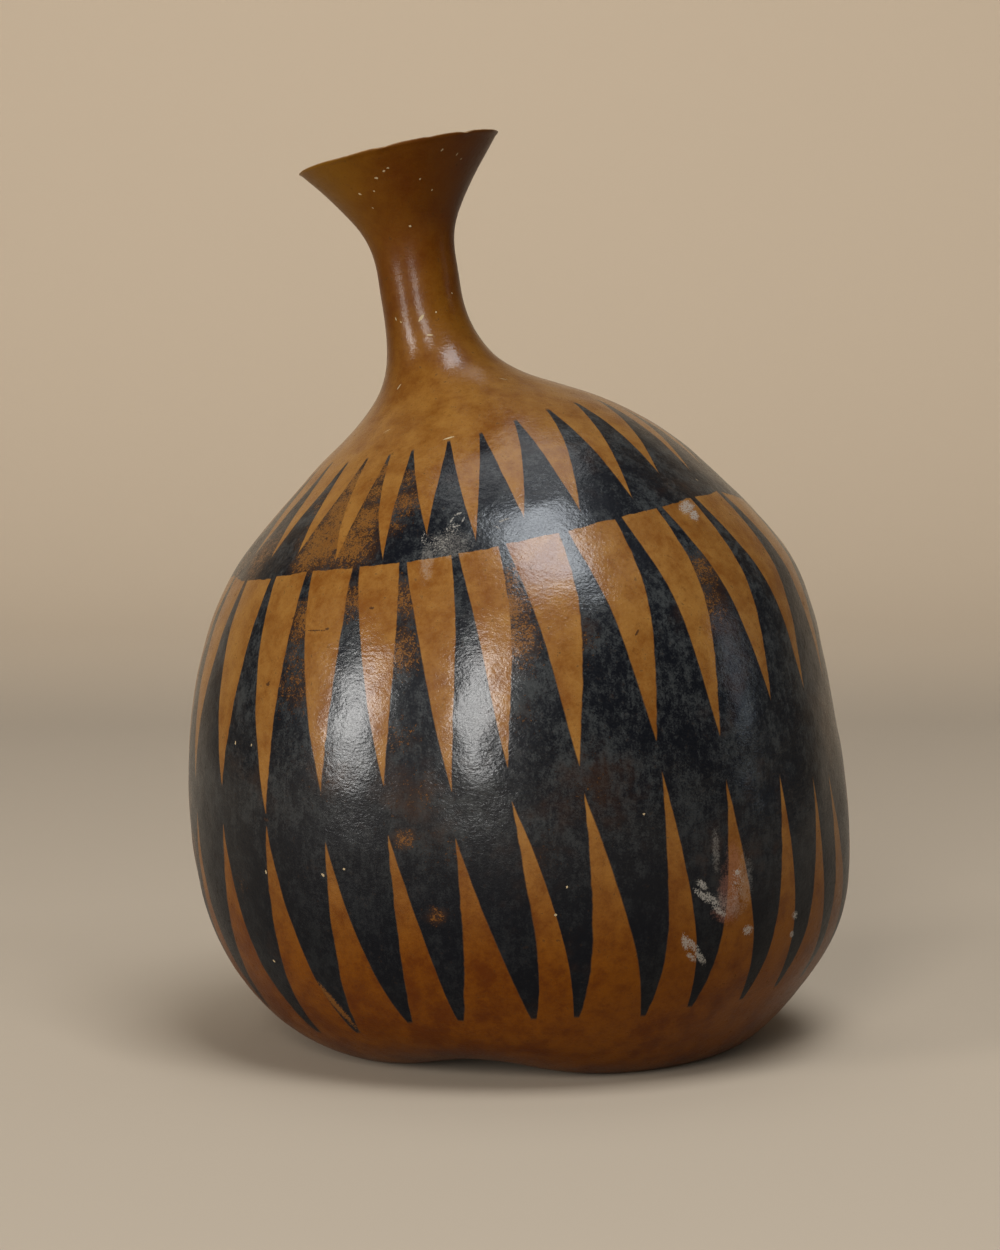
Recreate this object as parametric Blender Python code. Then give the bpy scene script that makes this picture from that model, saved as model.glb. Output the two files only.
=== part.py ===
"""A dried bottle gourd, hollowed through its neck and cut open across the flare of its mouth.

Metres, +Z up. X runs along the way the neck leans (it leans towards -X), -Y is the front. The origin is under the
middle of the bounding box, on the surface that the gourd stands on.

The shell is one piece, grown as a stack of rings. A ring is given by its left and right outline points in the XZ
plane, so it can tilt, and by its half depth. Splines through those rings give the skin, creases pinch its foot into
lobes, and the wall's inner face follows the skin at the wall's thickness.
"""

import math

import bmesh
import bpy
import numpy as np

MM = 0.001

# The rings from the middle of the hollow foot up to the rim, in millimetres:
# left x, left z, right x, right z, half depth, middle of the depth.
RINGS = (
    (-1.0, 9.0, -1.0, 9.0, 0.0, 0.0),
    (-24.0, 6.0, 24.0, 5.5, 23.0, -1.0),
    (-48.5, -1.1, 52.0, -1.2, 48.5, -2.0),
    (-72.5, 4.9, 76.0, 2.8, 72.0, -2.0),
    (-89.6, 19.3, 92.4, 18.8, 89.8, -1.0),
    (-101.0, 38.0, 105.5, 40.0, 101.0, 0.0),
    (-107.2, 61.0, 109.0, 67.0, 106.0, 0.0),
    (-109.0, 86.0, 105.7, 99.0, 106.5, 0.0),
    (-108.0, 109.0, 99.6, 131.0, 104.0, 0.0),
    (-103.2, 133.0, 89.6, 160.5, 96.5, 0.5),
    (-94.6, 154.0, 72.6, 180.6, 85.5, 1.0),
    (-78.6, 175.5, 48.0, 201.8, 66.0, 1.5),
    (-61.8, 194.0, 26.0, 213.2, 45.0, 2.0),
    (-49.4, 207.5, 8.0, 218.8, 29.5, 2.5),
    (-43.9, 219.5, -6.4, 225.8, 19.5, 3.0),
    (-43.3, 231.0, -15.1, 237.0, 15.0, 3.5),
    (-45.3, 247.0, -19.0, 251.5, 13.6, 4.0),
    (-49.3, 262.5, -20.2, 267.8, 14.8, 4.8),
    (-57.8, 273.0, -15.6, 281.0, 21.5, 5.5),
    (-71.4, 285.6, -6.2, 299.3, 33.0, 6.5),
)
NOD_DEG = 3.0  # how far the rim's plane leans back
NOD_FROM = 0.72  # share of the way up the skin where the rings start to lean back

# Creases that pinch the foot into lobes: degrees from the front towards +X, half width in degrees, depth in mm.
CREASES = (
    (-14.0, 24.0, 5.4),
    (98.0, 18.0, 3.0),
    (178.0, 24.0, 3.6),
    (-106.0, 20.0, 3.4),
)
CREASE_DEEPEST = 0.14  # share of the way up the skin where the creases are deepest

# Wall thickness at shares of the way up the skin, in millimetres.
WALL = ((0.0, 5.5), (0.45, 4.6), (0.75, 3.6), (1.0, 3.4))

SEGMENTS = 48
SKIN_ROWS = 48
HOLLOW_ROWS = 28
SKIN_COLOUR = (0.42, 0.19, 0.045, 1.0)
SKIN_ROUGHNESS = 0.38


def spline(knots, values, at):
    """A natural cubic spline through values at knots, read at the given places."""
    steps = np.diff(knots)
    slopes = np.diff(values, axis=0) / steps[:, None]
    count = len(knots)
    system = np.eye(count)
    right = np.zeros_like(values)
    for i in range(1, count - 1):
        system[i, i - 1 : i + 2] = steps[i - 1], 2 * (steps[i - 1] + steps[i]), steps[i]
        right[i] = 6 * (slopes[i] - slopes[i - 1])
    bend = np.linalg.solve(system, right)
    i = np.clip(np.searchsorted(knots, at, side="right") - 1, 0, count - 2)
    before = (at - knots[i])[:, None]
    after = (knots[i + 1] - at)[:, None]
    step = steps[i][:, None]
    return (
        (bend[i] * after**3 + bend[i + 1] * before**3) / (6 * step)
        + (values[i] / step - bend[i] * step / 6) * after
        + (values[i + 1] / step - bend[i + 1] * step / 6) * before
    )


def ring_knots():
    """The rings with the first few mirrored through the foot's middle, so that the skin is smooth there, and the
    distance along the skin of each."""
    rings = np.array(RINGS)
    mirrored = rings[[2, 1]][:, [2, 3, 0, 1, 4, 5]]
    mirrored[:, 4] *= -1
    rings = np.concatenate([mirrored, rings])
    left_steps = np.hypot(*np.diff(rings[:, 0:2], axis=0).T)
    right_steps = np.hypot(*np.diff(rings[:, 2:4], axis=0).T)
    places = np.concatenate([[0.0], np.cumsum((left_steps + right_steps) / 2)])
    return places - places[2], rings


def skin(up, azimuth):
    """Points of the gourd's skin in millimetres, for arrays of the share of the way up it and of the azimuth."""
    places, rings = ring_knots()
    left_x, left_z, right_x, right_z, half_depth, mid_depth = spline(places, rings, up * places[-1]).T
    across = np.cos(azimuth)
    nod = math.radians(NOD_DEG) * np.clip((up - NOD_FROM) / (1 - NOD_FROM), 0, 1)
    x = (left_x + right_x) / 2 + (right_x - left_x) / 2 * across
    y = mid_depth + half_depth * np.sin(azimuth) * np.cos(nod)
    z = (left_z + right_z) / 2 + (right_z - left_z) / 2 * across - half_depth * np.sin(azimuth) * np.sin(nod)
    return np.stack([x, y, z], axis=-1)


def outward(surface, up, azimuth):
    """Unit normals of a surface(up, azimuth), pointing out of the gourd."""
    small = 1e-4
    held = np.clip(up, 2 * small, 1 - 2 * small)
    along = surface(held + small, azimuth) - surface(held - small, azimuth)
    around = surface(held, azimuth + small) - surface(held, azimuth - small)
    normal = np.cross(around, along)
    return normal / np.linalg.norm(normal, axis=-1, keepdims=True)


def crease_depth(up, azimuth):
    """How deep the foot's creases press in, in millimetres."""
    height = (up / CREASE_DEEPEST) ** 2
    fade = height**2 * np.exp(2 - 2 * height)
    depth = np.zeros_like(up)
    for from_front, half_width, deepest in CREASES:
        middle = math.radians(from_front - 90)
        apart = np.angle(np.exp(1j * (azimuth - middle)))
        depth += deepest * np.exp(-((apart / math.radians(half_width)) ** 2))
    return depth * fade


def outside(up, azimuth):
    """The skin with its creases, its lobes worn flat where they stand."""
    points = skin(up, azimuth) - outward(skin, up, azimuth) * crease_depth(up, azimuth)[:, None]
    points[:, 2] = np.maximum(points[:, 2], 0)
    return points


def inside(up, azimuth):
    """The wall's inner face, cut off level with the rim."""
    thickness = np.interp(up, *np.array(WALL).T)
    points = outside(up, azimuth) - outward(outside, up, azimuth) * thickness[:, None]
    rim = outside(np.ones(4), np.radians([0.0, 90.0, 180.0, 270.0]))
    normal = np.cross(rim[1] - rim[3], rim[2] - rim[0])
    normal /= np.linalg.norm(normal)
    above = (points - rim.mean(axis=0)) @ normal
    return points - np.maximum(above, 0)[:, None] * normal


def rings_of(surface, rows):
    """One array of ring points for each row of a surface above its pole, and the pole itself."""
    azimuth = np.linspace(0, 2 * math.pi, SEGMENTS, endpoint=False)
    pole = surface(np.array([1e-3]), np.zeros(1))[0]
    return pole, [surface(np.full(SEGMENTS, share), azimuth) for share in np.linspace(0, 1, rows + 1)[1:]]


def add_ring(mesh, points):
    return [mesh.verts.new(point * MM) for point in points]


def add_band(mesh, lower, upper):
    """A band of faces between two rings, facing out when upper is further along a surface's outside."""
    for i, corner in enumerate(lower):
        following = (i + 1) % len(lower)
        mesh.faces.new((corner, lower[following], upper[following], upper[i]))


def add_cap(mesh, pole, ring):
    centre = mesh.verts.new(pole * MM)
    for i, corner in enumerate(ring):
        mesh.faces.new((centre, ring[(i + 1) % len(ring)], corner))


def gourd_mesh():
    """The whole shell: the skin from the foot to the rim, the rim's cut face, and the hollow back down."""
    mesh = bmesh.new()
    pole, skin_rings = rings_of(outside, SKIN_ROWS)
    hollow_pole, hollow_rings = rings_of(inside, HOLLOW_ROWS)
    stack = [add_ring(mesh, ring) for ring in skin_rings + hollow_rings[::-1]]
    for lower, upper in zip(stack, stack[1:]):
        add_band(mesh, lower, upper)
    add_cap(mesh, pole, stack[0])
    add_cap(mesh, hollow_pole, stack[-1][::-1])
    made = bpy.data.meshes.new("gourd")
    mesh.to_mesh(made)
    mesh.free()
    return made


def centre_on_footprint(mesh):
    """Puts the origin under the middle of the bounding box, on the surface that the gourd stands on."""
    points = np.empty(len(mesh.vertices) * 3, np.float32)
    mesh.vertices.foreach_get("co", points)
    points = points.reshape(-1, 3)
    low, high = points.min(axis=0), points.max(axis=0)
    points -= ((low[0] + high[0]) / 2, (low[1] + high[1]) / 2, low[2])
    mesh.vertices.foreach_set("co", points.ravel())


def skin_material():
    material = bpy.data.materials.new("gourd_skin")
    material.use_nodes = True
    shader = material.node_tree.nodes["Principled BSDF"]
    shader.inputs["Base Color"].default_value = SKIN_COLOUR
    shader.inputs["Roughness"].default_value = SKIN_ROUGHNESS
    shader.inputs["Metallic"].default_value = 0.0
    return material


def main():
    for old in list(bpy.data.objects):
        bpy.data.objects.remove(old)
    mesh = gourd_mesh()
    centre_on_footprint(mesh)
    mesh.materials.append(skin_material())
    mesh.shade_smooth()
    mesh.set_sharp_from_angle(angle=math.radians(40))
    gourd = bpy.data.objects.new("gourd", mesh)
    bpy.context.scene.collection.objects.link(gourd)


main()
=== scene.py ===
"""A dried bottle gourd, polished by handling and painted with dark toothed bands, seen as in the photograph.

Metres, +Z up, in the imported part's frame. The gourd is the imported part's own form, grown again with finer
rings, a worn rim and small dents. Two pairs of coordinates run over its skin, one for the tall teeth under
the band's lower edge and one for the short teeth above it. Both are laid through places read from the
photograph, in pixels of its 1000 by 1250 frame. The skin's material draws the teeth, wear and small marks.
"""

import math

import bpy
import numpy as np
from mathutils import Matrix, Vector
from mathutils.bvhtree import BVHTree
from mathutils.interpolate import poly_3d_calc


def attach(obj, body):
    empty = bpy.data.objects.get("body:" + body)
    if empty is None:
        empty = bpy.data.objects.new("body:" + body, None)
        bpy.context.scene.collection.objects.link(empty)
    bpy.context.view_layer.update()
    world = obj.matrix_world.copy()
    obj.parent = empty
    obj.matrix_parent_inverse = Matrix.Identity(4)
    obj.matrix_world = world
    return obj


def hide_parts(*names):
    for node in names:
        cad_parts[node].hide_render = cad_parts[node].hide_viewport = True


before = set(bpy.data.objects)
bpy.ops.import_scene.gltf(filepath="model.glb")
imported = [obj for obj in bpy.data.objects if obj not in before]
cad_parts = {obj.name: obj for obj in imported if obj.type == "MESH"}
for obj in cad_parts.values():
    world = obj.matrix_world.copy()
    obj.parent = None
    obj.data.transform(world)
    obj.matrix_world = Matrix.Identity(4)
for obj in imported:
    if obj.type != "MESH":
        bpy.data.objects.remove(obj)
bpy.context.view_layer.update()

MM = 0.001

# The rings from the middle of the hollow foot up to the rim, in millimetres, as in the part:
# left x, left z, right x, right z, half depth, middle of the depth.
RINGS = (
    (-1.0, 9.0, -1.0, 9.0, 0.0, 0.0),
    (-24.0, 6.0, 24.0, 5.5, 23.0, -1.0),
    (-48.5, -1.1, 52.0, -1.2, 48.5, -2.0),
    (-72.5, 4.9, 76.0, 2.8, 72.0, -2.0),
    (-89.6, 19.3, 92.4, 18.8, 89.8, -1.0),
    (-101.0, 38.0, 105.5, 40.0, 101.0, 0.0),
    (-107.2, 61.0, 109.0, 67.0, 106.0, 0.0),
    (-109.0, 86.0, 105.7, 99.0, 106.5, 0.0),
    (-108.0, 109.0, 99.6, 131.0, 104.0, 0.0),
    (-103.2, 133.0, 89.6, 160.5, 96.5, 0.5),
    (-94.6, 154.0, 72.6, 180.6, 85.5, 1.0),
    (-78.6, 175.5, 48.0, 201.8, 66.0, 1.5),
    (-61.8, 194.0, 26.0, 213.2, 45.0, 2.0),
    (-49.4, 207.5, 8.0, 218.8, 29.5, 2.5),
    (-43.9, 219.5, -6.4, 225.8, 19.5, 3.0),
    (-43.3, 231.0, -15.1, 237.0, 15.0, 3.5),
    (-45.3, 247.0, -19.0, 251.5, 13.6, 4.0),
    (-49.3, 262.5, -20.2, 267.8, 14.8, 4.8),
    (-57.8, 273.0, -15.6, 281.0, 21.5, 5.5),
    (-71.4, 285.6, -6.2, 299.3, 33.0, 6.5),
)
NOD_DEG = 3.0
NOD_FROM = 0.72
# The foot's creases: degrees from the front towards the right, half width in degrees, depth.
CREASES = (
    (-14.0, 24.0, 5.4),
    (98.0, 18.0, 3.0),
    (178.0, 24.0, 3.6),
    (-106.0, 20.0, 3.4),
)
CREASE_DEEPEST = 0.14
# The wall's thickness: share of the way up, millimetres.
WALL = ((0.0, 5.5), (0.45, 4.6), (0.75, 3.6), (1.0, 3.4))

# How finely the shell is divided, and where its first ring lies, just off the middle of the foot.
SEGMENTS = 240
SKIN_ROWS = 270
HOLLOW_ROWS = 70
FIRST_RING = 1e-3
# The rim's rounding: share of the way over the wall, millimetres down.
RIM_ROUNDING = ((0.0, 0.35), (0.14, 0.06), (0.5, 0.0), (0.86, 0.1), (1.0, 0.4))
# The rim's chips: x and y in the photograph, half width and depth in millimetres.
RIM_CHIPS = ((463, 131, 2.2, 0.5), (384, 144, 3.0, 0.45), (345, 151, 7.0, 0.35), (430, 135, 1.6, 0.25))
# How many pixels below the rim a chip's azimuth is read, and how much shallower a chip is at the inner edge.
BELOW_THE_RIM = 8
CHIP_LEVELLING = 0.6
# Dents, in millimetres: waves of a size, each octave of them smaller and shallower by a ratio.
DENT_DEPTH = 0.35
DENT_SINK = 0.7
DENT_SIZE = 34.0
DENT_OCTAVES, DENT_WAVES, DENT_RATIO, DENT_SPREAD = 3, 4, 1.7, 6
# Dents fade out over this height above the floor and this share of the way up below the rim.
DENT_FREE_HEIGHT, DENT_FREE_SHARE = 12, 0.03

# The camera, where the photograph's stood.
CAMERA_AT = (-0.0062, -1.197, 0.2386)
CAMERA_DOWN_DEG = 4.82
CAMERA_ROLL_DEG = -0.24
FOCAL_PIXELS = 3650.0
FRAME_WIDTH, FRAME_HEIGHT = 1000, 1250
SENSOR_MM = 36.0
NEAREST_SEEN = 0.01
# The size of the photograph's pixels at the gourd.
METRES_PER_PIXEL = 0.00032

# The painted teeth in the photograph's frame, from left to right: number, x, y. A whole number is a tooth's
# middle, and a half is the point of a bare wedge between two of them.
NECKS = (
    (0, 246, 581), (1, 274, 577.5), (2, 310, 571), (3, 356.5, 567), (4, 403, 562), (5, 455.5, 555),
    (6, 501.5, 545), (7, 563, 531.5), (8, 618, 517.5), (9, 659, 507.5), (10, 692.5, 497.5), (11, 718.5, 491),
)
HANGING_WEDGES = (
    (0.5, 222, 786), (1.5, 266, 816), (2.5, 321, 792), (3.5, 384, 787), (4.5, 452, 793), (5.5, 507, 767),
    (6.5, 579.5, 767), (7.5, 657, 742), (8.5, 720, 737), (9.5, 771, 700), (10.5, 804, 689),
)
STANDING_WEDGES = (
    (0.5, 223.5, 824), (1.5, 266, 823), (2.5, 325.5, 842), (3.5, 388, 834), (4.5, 456, 839),
    (5.5, 511, 799.5), (6.5, 584, 793), (7.5, 662, 771), (8.5, 726, 780), (9.5, 780, 775), (10.5, 813, 777),
    (11.5, 828, 772),
)
TALL_TIPS = (
    (0, 267, 1005), (1, 318, 1031), (2, 357, 1031), (3, 410, 1021), (4, 460, 1019.5), (5, 535, 1018),
    (6, 576, 1016), (7, 644, 1014), (8, 690, 1004.5), (9, 742, 998), (10, 776, 985),
)
SHORT_TIPS = (
    (0, 346, 465), (1, 366, 461), (2, 389, 457), (3, 412, 452.5), (4, 449, 443), (5, 481, 435),
    (6, 516, 422), (7, 549, 411), (8, 577, 404), (9, 599, 400.5), (10, 625, 409),
)
SHORT_VALLEYS = (
    (-0.5, 271, 558), (0.5, 298, 553.5), (1.5, 335.5, 561), (2.5, 383, 559), (3.5, 427, 534),
    (4.5, 476, 540), (5.5, 524, 517), (6.5, 580, 510), (7.5, 632, 497.5), (8.5, 658, 472), (9.5, 690, 470),
)
TALL_COUNT = 29
SHORT_COUNT = 28
# How uneven the teeth behind are: a share of a tooth's step, and a share of the way up the skin.
UNEVEN_STEP = 0.07
UNEVEN_HEIGHT = 0.006
# The share of the way up the skin that counts as one row past the outermost ones.
PAST_REACH = 0.15
# The coordinates of the shell's other faces, well past every tooth.
NO_TEETH = (0.5, 9.0)
# The teeth's outlines, as shares of a tooth's step, and how their sides bend.
NECK_HALF_WIDTH = 0.075
TIP_HALF_WIDTH = 0.05
HAND_WOBBLE = 0.035
PAINT_EDGE = 0.012
HANG_CURVE = 1.25
STAND_CURVE = 0.85
# Where the tips end, in rows past the first one, and the short span over which the paint stops there.
TALL_END, TALL_CUT = 3.0, (3.02, 3.0)
SHORT_END, SHORT_CUT = 1.0, (1.03, 1.0)

# Paint worn thin, as the photograph shows it: x, y, radius in millimetres, how far it is gone.
WORN_SPOTS = (
    (357, 482, 8, 0.85), (344, 508, 9, 0.9), (327, 538, 11, 0.95), (306, 560, 7, 0.75), (384, 472, 6, 0.7),
    (376, 492, 6, 0.65), (366, 520, 8, 0.8), (352, 545, 10, 0.72), (410, 478, 6, 0.55), (403, 503, 8, 0.6),
    (394, 524, 6, 0.5), (508, 580, 6, 0.6), (511, 607, 7, 0.8), (517, 640, 9, 0.65), (403, 600, 8, 0.6),
    (398, 650, 10, 0.6), (355, 600, 8, 0.6), (305, 620, 9, 0.65), (294, 680, 13, 0.45), (704, 570, 7, 0.6),
    (712, 605, 8, 0.5), (400, 735, 7, 0.35), (404, 840, 3.4, 0.66), (437, 916, 3.2, 0.66),
    (415, 790, 14, 0.22), (445, 850, 11, 0.2), (580, 645, 8, 0.35), (545, 860, 9, 0.18), (240, 885, 5, 0.35),
    (325, 770, 12, 0.2), (325, 500, 8, 0.45), (262, 556, 12, 0.5), (242, 566, 10, 0.45), (376, 600, 6, 0.2),
    (590, 790, 12, 0.15), (520, 720, 8, 0.22),
)
# Worn spots on the side that the photograph doesn't show: how many, and their least and greatest values.
HIDDEN_SPOTS = 26
HIDDEN_UP = (0.3, 0.7)
HIDDEN_AZIMUTH = (0, math.radians(190))
HIDDEN_RADIUS = (5, 12)
HIDDEN_STRENGTH = (0.2, 0.75)

# Small marks, as the photograph shows them: x, y, half length and half width in pixels, tilt in degrees.
# Flecks are raised patches, and the other marks are drawn by the material.
FLECKS = (
    (376, 178, 2.0, 1.7, 0), (384, 171, 1.8, 1.2, 60), (388, 168, 1.4, 1.2, 0), (360, 194, 2.2, 1.6, -20),
    (374, 191, 1.2, 1.1, 0), (373, 208, 1.1, 1.0, 0), (410, 226, 1.5, 1.2, 0), (420, 179, 1.2, 1.0, 40),
    (432, 190, 1.2, 1.0, 0), (442, 150, 2.2, 1.2, 40), (457, 154, 1.8, 1.3, 60), (461, 159, 1.7, 1.1, -20),
    (452, 293, 1.3, 1.2, 0), (396, 319, 2.2, 0.9, -50), (401, 322, 1.2, 1.0, 0), (421, 318, 4.6, 1.5, 55),
    (436, 312, 1.4, 1.0, 50), (430, 335, 3.8, 0.9, -3), (399, 387, 4.6, 1.3, 62), (503, 379, 4.2, 0.9, 8),
    (449, 438, 6.5, 2.0, 18), (387, 431, 5.0, 1.2, 15), (235.5, 743, 2.2, 1.8, 80),
    (251.5, 745, 1.5, 1.5, 0), (266, 872, 2.0, 2.0, 0), (323, 875, 2.2, 1.5, -30), (344, 869, 1.6, 1.3, 0),
    (274, 961, 2.6, 1.7, 10), (644, 814, 1.3, 1.3, 0), (567, 887, 1.2, 1.2, 0), (555.5, 915, 1.5, 1.4, 0),
    (697, 480, 1.5, 1.2, 0),
)
CHALK = (
    (702, 885, 9, 4.0, -48), (703, 896, 13, 4.0, -42), (711, 899, 14, 4.2, -44), (719, 911, 11, 3.4, -38),
    (685, 942, 4.0, 11, 12), (693, 946, 13, 4.2, -52), (700, 957, 12, 4.2, -56), (691, 957, 8, 3.0, -50),
    (738, 872, 4, 4, 0), (748, 930, 6, 6, 0), (795, 915, 4, 5, 0), (792, 934, 3, 4, 0),
    (687, 507, 11, 8, 25), (694, 515, 7, 7, 0),
    (452, 520, 4, 1.0, 55), (458, 514, 5, 1.0, 20), (463, 520, 4, 1.0, 60), (456, 526, 5, 1.0, 15),
    (504, 520, 6, 1.3, 20), (497, 527, 4, 1.0, -20),
)
SPATTER = ((441, 544, 18, 12, 5), (424, 538, 5, 18, 0), (452, 530, 12, 10, 30), (737, 885, 12, 26, 0))
DUSTED = (
    (745, 880, 10, 34, 0), (716, 850, 5, 26, 0), (728, 905, 22, 16, -30), (450, 545, 30, 16, 5),
    (427, 560, 9, 62, 0),
)
RUBBED = ((729, 893, 13, 30, 0), (734, 868, 10, 30, 0), (724, 915, 15, 9, -30))
BARE_LINES = ((335, 1004, 33, 3.0, -51),)
DARK_LINES = (
    (266, 819.5, 3.2, 2.2, 0), (316, 630.5, 11, 0.8, 4), (327, 629, 2.5, 1.2, 30), (637, 633, 3.5, 1.2, 60),
    (268, 684, 3, 2, 60), (294, 618, 3, 1.5, 30), (372, 608, 3, 1.2, 0),
)
# A fleck's corners, the least and greatest share of its size at one of them, and its thickness in metres.
FLECK_CORNERS = 11
FLECK_RAGGED = (0.65, 1.2)
FLECK_THICKNESS = 0.00004
# A mark's depth into the picture, in its half lengths.
MARK_DEPTH = 2
# The multiples of a mark's reach at which it starts to show and is whole.
MARK_EDGE = (1.5, 0.3)
# The blossom scar's reach in metres.
SCAR_REACH = 0.0045

# A mark is broken up by a grain: where the sum of both starts to show, and where it shows whole.
BARE_LINE_SPAN = (1.0, 1.1)
RUBBED_SPAN = (0.9, 1.6)
DUSTED_SPAN = (1.0, 1.9)
CHALK_SPAN = (1.1, 1.5)
SPATTER_SPAN = (1.6, 1.9)
DARK_LINE_SPAN = (1.0, 1.2)
SCAR_SPAN = (0.9, 1.1)
# How much of a mark's colour shows where it is whole.
RUBBED_SHARE, DUSTED_SHARE, CHALK_SHARE, DARK_LINE_SHARE = 0.42, 0.4, 0.75, 0.8

# Colours, as the shader takes them.
SKIN_DARK = (0.112, 0.037, 0.004, 1)
SKIN_LIGHT = (0.196, 0.090, 0.018, 1)
SKIN_GRIME = (0.075, 0.025, 0.003, 1)
# The two darkest skin colours are partly the skin's own darker colour and partly painted shade, where the
# foot faces down and on the mouth's right side.
SKIN_DARKEST_AND_SHADE = (0.062, 0.0135, 0.0003, 1)
SKIN_LOW_AND_SHADE = (0.114, 0.033, 0.0005, 1)
SKIN_NECK = (0.100, 0.034, 0.0006, 1)
SKIN_MOUTH = (0.068, 0.018, 0.0003, 1)
# The lip's lighter colour on the flare's left is partly the skin's own and partly painted light from the
# left.
SKIN_LIP_AND_LIGHT = (0.125, 0.053, 0.0015, 1)
PAINT_DARK = (0.0018, 0.0024, 0.0040, 1)
PAINT_DUST = (0.026, 0.028, 0.028, 1)
PAINT_BROWN = (0.022, 0.009, 0.004, 1)
WORN_BROWN = (0.105, 0.043, 0.009, 1)
RUBBED_PINK = (0.18, 0.072, 0.045, 1)
SCAR_BROWN = (0.016, 0.008, 0.004, 1)
CHALK_GREY = (0.24, 0.22, 0.19, 1)
FLECK_CREAM = (0.28, 0.21, 0.115, 1)
RIM_DARK = (0.10, 0.045, 0.010, 1)
RIM_LIGHT = (0.26, 0.15, 0.055, 1)
PULP_DARK = (0.20, 0.12, 0.065, 1)
PULP_LIGHT = (0.38, 0.26, 0.14, 1)

# Noises: bumps in a metre, how many finer layers, how strong those are, and how closely along each axis.
BROAD_NOISE = (16, 4, 0.6)
TONE_NOISE = (130, 6, 0.8)
STREAK_NOISE = (60, 3, 0.6, (1, 1, 0.18))
GRIME_NOISE = (500, 5, 0.8)
WOBBLE_NOISE = (160, 3)
CLOUDY_NOISE = (42, 5, 0.65)
MOTTLED_NOISE = (190, 4, 0.7)
PATCHY_NOISE = (520, 5, 0.75)
BRUSHED_NOISE = (700, 3, 0.65, (1, 1, 0.2))
SPECK_NOISE = (1900, 3, 0.8)
UNDER_NOISE = (33, 4, 0.7)
PORE_NOISE = (1000, 3, 0.6, (0.8, 0.8, 1.2))
PEBBLE_NOISE = (400, 4, 0.65, (0.9, 0.9, 1.3))
SWELL_NOISE = (38, 2)
FIBRE_FINENESS = (5, 0.7, (1, 1, 0.35))
RIM_FIBRES, INSIDE_FIBRES = 600, 240
PULP_NOISE = (35, 3)
# The part of a noise's range that is spread out to run from 0 to 1.
NOISE_SPAN, MOTTLED_SPAN = (0.32, 0.68), (0.36, 0.64)

# The bare skin's tone: shares of its noises, and the spans over which it goes from a dark to a light colour.
TONE_SHARES = (0.5, 0.3, 0.2)
BODY_TONES, END_TONES, MOUTH_TONES = (0.37, 0.63), (0.4, 0.6), (0.35, 0.6)
# Where the skin changes colour: two heights or two places from left to right, in metres, and shares there.
# The foot's darkening is partly the skin's own colour and partly painted shade.
FOOT_CHANGE = (0.125, 0.055, 0.0, 1.0)
NECK_CHANGE = (0.180, 0.222, 0.0, 0.9)
# The mouth's right side goes darker, partly the skin's own colour and partly painted shade on the side turned
# away from the lights.
MOUTH_CHANGE, MOUTH_FROM = (-0.055, 0.0, 0.0, 0.85), (0.235, 0.275)
# The lip lightens towards the left, partly the skin's own colour and partly painted light on the side facing
# the lights.
LIP_CHANGE, LIP_FROM = (-0.028, -0.055, 0.0, 0.8), (0.245, 0.265)
# How far the broad noise shifts those changes, in metres.
FOOT_SHIFT, NECK_SHIFT, MOUTH_SHIFT = 0.04, -0.03, 0.02
# Where in its own noise grime shows, and how much.
GRIME_CHANGE = (0.54, 0.7, 0.0, 0.5)

# The paint: how its wear, its dust and the brown under it come out of the grains.
GRAIN_SHARES = (0.6, 0.4)
CLOUDY_WEAR, WEAR_MOST = 0.1, 0.82
GONE_CHANGE = (0.0, 0.25, 0.0, 0.95)
DUST_SHARES = (0.7, 0.25, 0.38, 0.4)
DUST_SPAN = (0.65, 1.4)
# The dust thins out towards the foot, so the paint goes darker low down as painted shade.
DUST_AND_SHADE_BY_HEIGHT = (0.045, 0.13, 0.25, 1.0)
WORN_BROWNING = 0.5
BROWN_CHANGE = (0.54, 0.8, 0.0, 0.7)
STAIN_SHARE = 0.75

# The skin's gloss, and the heights in metres that it is polished between.
SKIN_SPECULAR = 0.09
SKIN_ROUGHNESS = 0.28
ROUGHNESS_SHARES = (0.08, 0.12, 0.4)
POLISH_ROUGHNESS = 0.14
POLISH_EVEN, POLISH_SPECKED, POLISH_LEAST = 0.34, 0.3, 0.05
POLISHED_FROM, POLISHED_TO = (0.045, 0.105), (0.265, 0.2)
# The skin's relief from fine to broad: noise, depth in metres.
RELIEF = ((PORE_NOISE, 0.000065), (PEBBLE_NOISE, 0.0001), (SWELL_NOISE, 0.0005))
# The pulp: shares of its noises, the span from dark to light, and its fibres' depth in metres.
PULP_SHARES = (0.5, 0.5)
PULP_SPAN = (0.38, 0.62)
FIBRE_DEPTH = 0.0006
PULP_ROUGHNESS, FLECK_ROUGHNESS, BACKDROP_ROUGHNESS = 0.82, 0.8, 0.9

# Where each material sits in the shell's list.
SKIN, RIM, HOLLOW, FLECK = 0, 1, 2, 3

# The studio.
FLOOR_FRONT, FLOOR_SIDE = 4.0, 5.0
WALL_BEHIND, WALL_CURVE, WALL_HEIGHT = 1.6, 1.2, 5.0
CURVE_STEPS = 16
BACKDROP_COLOUR = (0.36, 0.292, 0.215, 1)
AMBIENT_COLOUR = (1.0, 0.93, 0.84, 1)
AMBIENT_STRENGTH = 0.08
LIGHTS_AIM = (0.0, 0.0, 0.13)
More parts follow.
